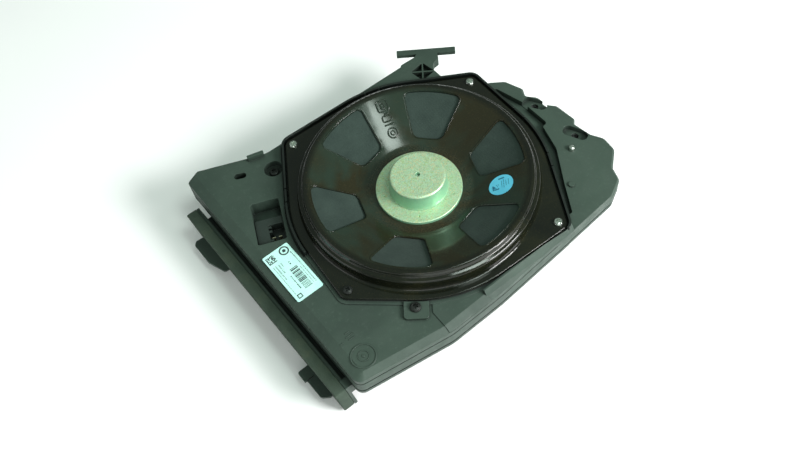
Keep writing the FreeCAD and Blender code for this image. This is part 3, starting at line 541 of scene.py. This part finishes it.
def soft_path(corners, steps=5):
    """Points along a closed outline whose corners (x, y, radius) are rounded."""
    points = []
    n = len(corners)
    for i in range(n):
        p = Vector(corners[i][:2])
        radius = corners[i][2]
        if radius <= 0:
            points.append(p)
            continue
        a = (Vector(corners[i - 1][:2]) - p).normalized()
        b = (Vector(corners[(i + 1) % n][:2]) - p).normalized()
        half = a.angle(b) / 2
        middle = (a + b).normalized()
        centre = p + middle * (radius / math.sin(half))
        start = (p + a * (radius / math.tan(half)) - centre).normalized()
        end = (p + b * (radius / math.tan(half)) - centre).normalized()
        for k in range(steps + 1):
            points.append(centre + start.slerp(end, k / steps).normalized() * radius)
    return points


# ---------------------------------------------------------------- printing on the labels
INK_RISE = 0.03


def label_rect(build, u, v, du, dv):
    """Printed rectangle; u runs along the label, v across it."""
    x0, x1 = LABEL_AT[0] + v - dv / 2, LABEL_AT[0] + v + dv / 2
    y0, y1 = LABEL_AT[1] + u - du / 2, LABEL_AT[1] + u + du / 2
    z = LABEL_TOP_Z
    build.slab([(x0, y0, z), (x1, y0, z), (x1, y1, z), (x0, y1, z)], INK_RISE)


def print_part_label():
    """Ring mark, block code, bars and dashes that stand for text; none of them can be read."""
    dark, soft = Build(), Build()
    x, y = LABEL_AT[0] + 5.8, LABEL_AT[1] + 20.3
    dark.band(circle(x, y, LABEL_TOP_Z, 4.2), circle(x, y, LABEL_TOP_Z, 3.0), INK_RISE)
    dark.slab(circle(x, y, LABEL_TOP_Z, 1.5), INK_RISE)
    cells, cell = 10, 0.72
    for i in range(cells):
        for j in range(cells):
            border = i == 0 or j == 0
            if border or rng.random() < 0.5:
                label_rect(dark, 19.6 + (i - 4.5) * cell, -6.8 + (j - 4.5) * cell, cell, cell)
    u = 2.6
    while u > -19.5:
        width = rng.choice((0.35, 0.35, 0.6, 0.85))
        label_rect(dark, u, 2.6, width, 6.8)
        u -= width + rng.choice((0.35, 0.5, 0.75))
    # ink, place across the label, start and end along it, height
    rows = [(soft, 9.6, 11.5, -19.0, 0.9), (soft, 7.5, 0.0, -19.0, 0.6), (dark, 9.3, 16.5, 12.5, 0.8),
            (dark, -3.2, -2.5, -15.5, 1.0), (soft, -4.9, 12.0, 4.0, 0.9), (soft, -7.4, 13.0, -3.0, 0.9),
            (soft, -9.4, 13.0, -18.0, 0.6), (soft, -2.6, 12.5, 8.5, 0.7), (dark, 3.0, 9.5, 7.5, 1.0)]
    for build, v, start, end, height in rows:
        u = start
        while u > end:
            width = rng.uniform(0.5, 1.5) * height
            label_rect(build, u - width / 2, v, width, height)
            u -= width + height * rng.choice((0.35, 0.35, 0.9))
    x, y = LABEL_AT[0] - 7.6, LABEL_AT[1] - 21.4
    corners = ((-2, -2), (2, -2), (2, 2), (-2, 2))
    outer = [(x + a, y + b, LABEL_TOP_Z) for a, b in corners]
    inner = [(x + a * 0.62, y + b * 0.62, LABEL_TOP_Z) for a, b in corners]
    dark.band(outer, inner, INK_RISE)
    dark.piece("part_label_print", INK, "label_film")
    soft.piece("part_label_small_print", INK_SOFT, "label_film")


def on_dish(x, y, lift):
    """Point a given height over the basket's dish."""
    slope = (RIM_TOP_Z - RIM_DROP - HUB_TOP_Z) / (RIM_R - RIM_DROP - HUB_R)
    return Vector((x, y, HUB_TOP_Z + slope * (math.hypot(x, y) - HUB_R) + lift))


def print_oval_label():
    ink = Build()

    def rect(a, b, da, db):
        corners = []
        for sa, sb in ((-1, -1), (1, -1), (1, 1), (-1, 1)):
            dx, dy = turned_to(a + sa * da / 2, b + sb * db / 2, OVAL_TURN)
            corners.append(on_dish(OVAL_AT[0] + dx, OVAL_AT[1] + dy, OVAL_FILM))
        ink.slab(corners, INK_RISE)

    cells, cell = 7, 0.72
    for i in range(cells):
        for j in range(cells):
            if i == 0 or j == 0 or rng.random() < 0.5:
                rect(-6.4 + i * cell, -3.6 + j * cell, cell, cell)
    rect(0.6, 6.2, 4.6, 1.2)
    for a, b, length in ((0.6, 0.2, 6.5), (2.2, 0.4, 8.0), (4.0, 0.2, 5.5), (6.0, 0.6, 5.0)):
        q = b + length / 2
        while q > b - length / 2:
            step = rng.uniform(0.5, 1.4)
            rect(a, q, 0.5, step)
            q -= step + 0.35
    ink.piece("oval_label_print", INK_BLUE, "label_blue")


# ---------------------------------------------------------------- pressed details of the basket
def window_outline(grow):
    """Outline of one basket window before it is turned into place."""
    inner, outer = WINDOW_INNER_R - grow, WINDOW_END_R + grow
    a, b = WINDOW_HALF_IN + grow, WINDOW_HALF_OUT + grow
    slope = (b - a) / (WINDOW_BLANK_R - inner)
    # where the straight side y = a + slope (x - inner) meets the outer circle
    rise = a - slope * inner
    half = slope * rise / (1 + slope ** 2)
    corner_x = math.sqrt(half ** 2 - (rise ** 2 - outer ** 2) / (1 + slope ** 2)) - half
    corner_y = rise + slope * corner_x
    reach = math.atan2(corner_y, corner_x)
    turns = [reach * (0.72 * k / 4.0) for k in range(-4, 5)]
    arc = [(outer * math.cos(t), outer * math.sin(t), 0.0) for t in turns]
    lower = [(inner, -a, WINDOW_ROUND_IN), (corner_x, -corner_y, WINDOW_ROUND_OUT)]
    upper = [(corner_x, corner_y, WINDOW_ROUND_OUT), (inner, a, WINDOW_ROUND_IN)]
    return soft_path(lower + arc + upper)


def window_lips():
    """Rolled lip round each window."""
    lip_r, sink, outside = 0.42, 0.12, 0.55
    lips = Build()
    for k in range(6):
        turn = math.radians(WINDOW_PHASE + 60 * k)
        path = [on_dish(*turned_to(p.x, p.y, turn), -sink) for p in window_outline(outside)]
        lips.tube(path, lip_r)
    lips.piece("window_lips", MAT["basket_enamel"], "basket_enamel")


def spoke_stamps():
    """Embossed frames, bars and rings in a row on one spoke."""
    frames_r, short_bar_r, small_frame_r, long_bar_r, rings_r = 80.0, 73.5, 69.6, 64.6, 57.6
    stamps = Build()
    turn = math.radians(73.0)

    def run(points, closed=True):
        path = [on_dish(*turned_to(radial, side, turn), 0.05) for radial, side in points]
        stamps.tube(path, 0.75, closed)

    def block(radial, length, width, radius):
        a, b = length / 2, width / 2
        corners = [(radial - a, -b, radius), (radial + a, -b, radius), (radial + a, b, radius),
                   (radial - a, b, radius)]
        run([tuple(p) for p in soft_path(corners)])

    block(frames_r, 8.6, 9.6, 1.6)
    block(frames_r, 5.0, 3.2, 1.0)
    run([(short_bar_r, -4.4), (short_bar_r, 1.0)], False)
    block(small_frame_r, 4.6, 8.0, 1.4)
    run([(long_bar_r, -4.2), (long_bar_r, 4.2)], False)
    for radius, count in ((4.0, 18), (1.7, 12)):
        run([(x, y) for x, y, _ in circle(rings_r, 0.0, 0.0, radius, count)])
    stamps.piece("spoke_stamps", MAT["basket_enamel"], "basket_enamel")


def deck_marks():
    """Moulded generic marks beside the ring on the deck."""
    marks = Build()
    x, y = RING_MARK_AT
    z = DECK_Z - 0.2
    marks.band(circle(x, y, z, 4.6), circle(x, y, z, 3.9), 0.55)
    marks.slab(circle(x, y, z, 1.2), 0.55)
    dashes = ((2.0, 17.0, 5.0), (2.0, 20.0, 7.0), (2.0, 23.0, 4.0), (-6.5, 18.0, 3.0))
    for dx, dy, length in dashes:
        a, b = length / 2, 0.45
        corners = ((dx - a, dy - b), (dx + a, dy - b), (dx + a, dy + b), (dx - a, dy + b))
        marks.slab([(x + p, y + q, z) for p, q in corners], 0.5)
    marks.piece("deck_marks", MAT["housing_plastic"], "housing_plastic")


# ---------------------------------------------------------------- soft parts round the cone
def along(radius, degrees):
    """Place on the spoke of a blend, in metres."""
    # Point at a given radius and direction in degrees, in metres.
    a = math.radians(degrees)
    return (radius * math.cos(a) * MM, radius * math.sin(a) * MM, 0.05)


def soft_ring(node, profile, count, slot):
    """Ring in sectors, each swept over its own range of directions; the node itself is hidden."""
    step = 360.0 / count
    for k in range(count):
        build = Build()
        build.turned(profile, k * step, (k + 1) * step, 8)
        piece = build.piece("%s_%02d" % (node, k), MAT[slot], slot, body=None)
        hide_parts(node)
        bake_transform(piece)


def surround_profile():
    """Half roll that hangs down between two glued lands."""
    top, skin = SURROUND_TOP_Z, SURROUND_SKIN
    mid = (SURROUND_INNER_R + SURROUND_OUTER_R) / 2
    roll = (SURROUND_OUTER_R - SURROUND_INNER_R) / 2
    outer_land, inner_land = SURROUND_GLUE_R
    steps = 12
    turns = [math.pi * i / steps for i in range(steps + 1)]
    upper = [(mid + roll * math.cos(t), top - (roll - skin) * math.sin(t)) for t in turns]
    lower = [(mid - (roll + 0.3) * math.cos(t), top - skin - roll * math.sin(t)) for t in turns]
    return ([(outer_land, top)] + upper + [(inner_land, top), (inner_land, top - skin)] + lower
            + [(outer_land, top - skin)])


def spider_profile():
    """Three waves between two glued lands."""
    outer_land, inner_land = SPIDER_GLUE_R
    steps = 36
    upper = [(outer_land, SPIDER_Z)]
    for i in range(steps + 1):
        radius = SPIDER_OUTER_R + (SPIDER_INNER_R - SPIDER_OUTER_R) * i / steps
        upper.append((radius, SPIDER_Z + SPIDER_WAVE * math.sin(math.pi * 6 * i / steps)))
    upper.append((inner_land, SPIDER_Z))
    return upper + [(r, h - SPIDER_SKIN) for r, h in reversed(upper)]


def tinsel_leads():
    """Braids that leave the terminal tags level and then rise to the cone."""
    leads = Build()
    steps, straight_until = 32, 0.55
    end_z = CONE_NECK_Z + CONE_RISE * (LEAD_END_R - CONE_NECK_R) / CONE_WIDTH - 1.8
    for side in (-LEAD_SPACING, LEAD_SPACING):
        path = []
        for i in range(steps + 1):
            t = i / steps
            radius = LEAD_START_R + (LEAD_END_R - LEAD_START_R) * (t ** 0.85)
            arch = 0.5 * math.sin(math.pi * min(1.0, t * 2.0))
            climb = max(0.0, (t - straight_until) / (1 - straight_until)) ** 1.6
            x, y = turned_to(radius, side, math.radians(LEAD_TURN))
            path.append((x, y, LEAD_Z + arch + (end_z - LEAD_Z) * climb))
        leads.tube(path, LEAD_R, closed=False)
    piece = leads.piece("tinsel_leads_flex", MAT["braid_copper"], "braid_copper", body=None)
    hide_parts("tinsel_leads")
    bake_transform(piece)


def foam_frame():
    """Outlet foam with soft, slightly uneven edges."""
    mesh = frame["nodes"]["outlet_seal"].data.copy()
    mesh.materials.clear()
    bm = bmesh.new()
    bm.from_mesh(mesh)
    bmesh.ops.remove_doubles(bm, verts=bm.verts, dist=1e-6)
    bmesh.ops.dissolve_limit(bm, angle_limit=math.radians(1.0), verts=bm.verts, edges=bm.edges)
    sharp = [e for e in bm.edges if len(e.link_faces) == 2 and e.calc_face_angle(0.0) > math.radians(30)]
    bmesh.ops.bevel(bm, geom=sharp, offset=1.1 * MM, segments=3, profile=0.5, affect="EDGES")
    bm.to_mesh(mesh)
    bm.free()
    piece = finish_piece("outlet_foam", mesh, MAT["seal_foam"])
    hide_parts("outlet_seal")


paint_nodes()
darken_one_screw()
darken_rib()
print_part_label()
print_oval_label()
window_lips()
spoke_stamps()
deck_marks()
soft_ring("surround", surround_profile(), 16, "surround_rubber")
soft_ring("spider", spider_profile(), 12, "spider_cloth")
tinsel_leads()
foam_frame()


# ---------------------------------------------------------------- stage
CAMERA_AT = (-0.234838, -0.352787, 0.656549)
CAMERA_AZIMUTH, CAMERA_ELEVATION, CAMERA_ROLL = -30.9, 57.084, -9.16
CAMERA_LENS = 40.5


def place_camera():
    """Camera over the outlet's end of the box, slightly rolled."""
    azimuth = math.radians(CAMERA_AZIMUTH)
    elevation = math.radians(CAMERA_ELEVATION)
    roll = math.radians(CAMERA_ROLL)
    back = Vector((math.sin(azimuth) * math.cos(elevation), -math.cos(azimuth) * math.cos(elevation),
                   math.sin(elevation)))
    level = Vector((math.cos(azimuth), math.sin(azimuth), 0.0))
    rise = back.cross(level)
    right = level * math.cos(roll) + rise * math.sin(roll)
    up = rise * math.cos(roll) - level * math.sin(roll)
    data = bpy.data.cameras.new("camera")
    data.sensor_width = 36.0
    data.lens = CAMERA_LENS
    data.clip_start = 0.01
    camera = bpy.data.objects.new("camera", data)
    pose = Matrix((right, up, back)).transposed().to_4x4()
    pose.translation = Vector(CAMERA_AT)
    camera.matrix_world = pose
    bpy.context.scene.collection.objects.link(camera)
    bpy.context.scene.camera = camera


def lay_floor():
    """Pale floor, a hair under the box."""
    mesh = bpy.data.meshes.new("floor")
    bm = bmesh.new()
    bmesh.ops.create_grid(bm, x_segments=8, y_segments=8, size=3.0)
    bm.to_mesh(mesh)
    bm.free()
    floor = bpy.data.objects.new("floor", mesh)
    floor.location.z = -0.0002
    bpy.context.scene.collection.objects.link(floor)
    pale = Shader("floor")
    tone = pale.ramp(pale.noise(0.004, 2.0), [(0.3, (0.93, 0.93, 0.93)), (0.7, (0.96, 0.96, 0.96))])
    mesh.materials.append(pale.finish(tone, 0.9))


def light_sky():
    """Dim greenish sky, brighter overhead than at the horizon."""
    world = bpy.data.worlds.new("studio")
    bpy.context.scene.world = world
    world.use_nodes = True
    tree = world.node_tree
    sky = tree.nodes["Background"]
    sky.inputs["Strength"].default_value = 0.34
    ray = tree.nodes.new("ShaderNodeTexCoord")
    height = tree.nodes.new("ShaderNodeSeparateXYZ")
    fade = tree.nodes.new("ShaderNodeValToRGB")
    horizon, zenith = fade.color_ramp.elements
    horizon.position = 0.15
    horizon.color = (0.42, 0.50, 0.45, 1)
    zenith.position = 0.85
    zenith.color = (0.86, 1.08, 0.95, 1)
    tree.links.new(ray.outputs["Generated"], height.inputs[0])
    tree.links.new(height.outputs["Z"], fade.inputs[0])
    tree.links.new(fade.outputs[0], sky.inputs["Color"])


def area_light(name, at, to, size, watts, colour=(1, 1, 1)):
    data = bpy.data.lights.new(name, "AREA")
    data.shape = "RECTANGLE"
    data.size, data.size_y = size
    data.energy = watts
    data.color = colour
    light = bpy.data.objects.new(name, data)
    light.location = at
    light.rotation_euler = (Vector(to) - Vector(at)).to_track_quat("-Z", "Y").to_euler()
    bpy.context.scene.collection.objects.link(light)


place_camera()
lay_floor()
light_sky()
area_light("key", (0.62, -1.15, 0.88), (0, 0, 0.03), (0.7, 0.5), 38)
area_light("window", (0.24, -0.56, 1.48), (0, 0, 0.06), (0.34, 0.5), 7.5, (0.86, 1.0, 0.92))
area_light("fill", (-0.75, -1.15, 0.9), (0, 0, 0.03), (1.0, 0.8), 5)
area_light("left", (-1.35, 0.45, 0.75), (-0.15, 0, 0), (1.0, 0.8), 4)
bpy.context.scene.view_settings.view_transform = "Standard"
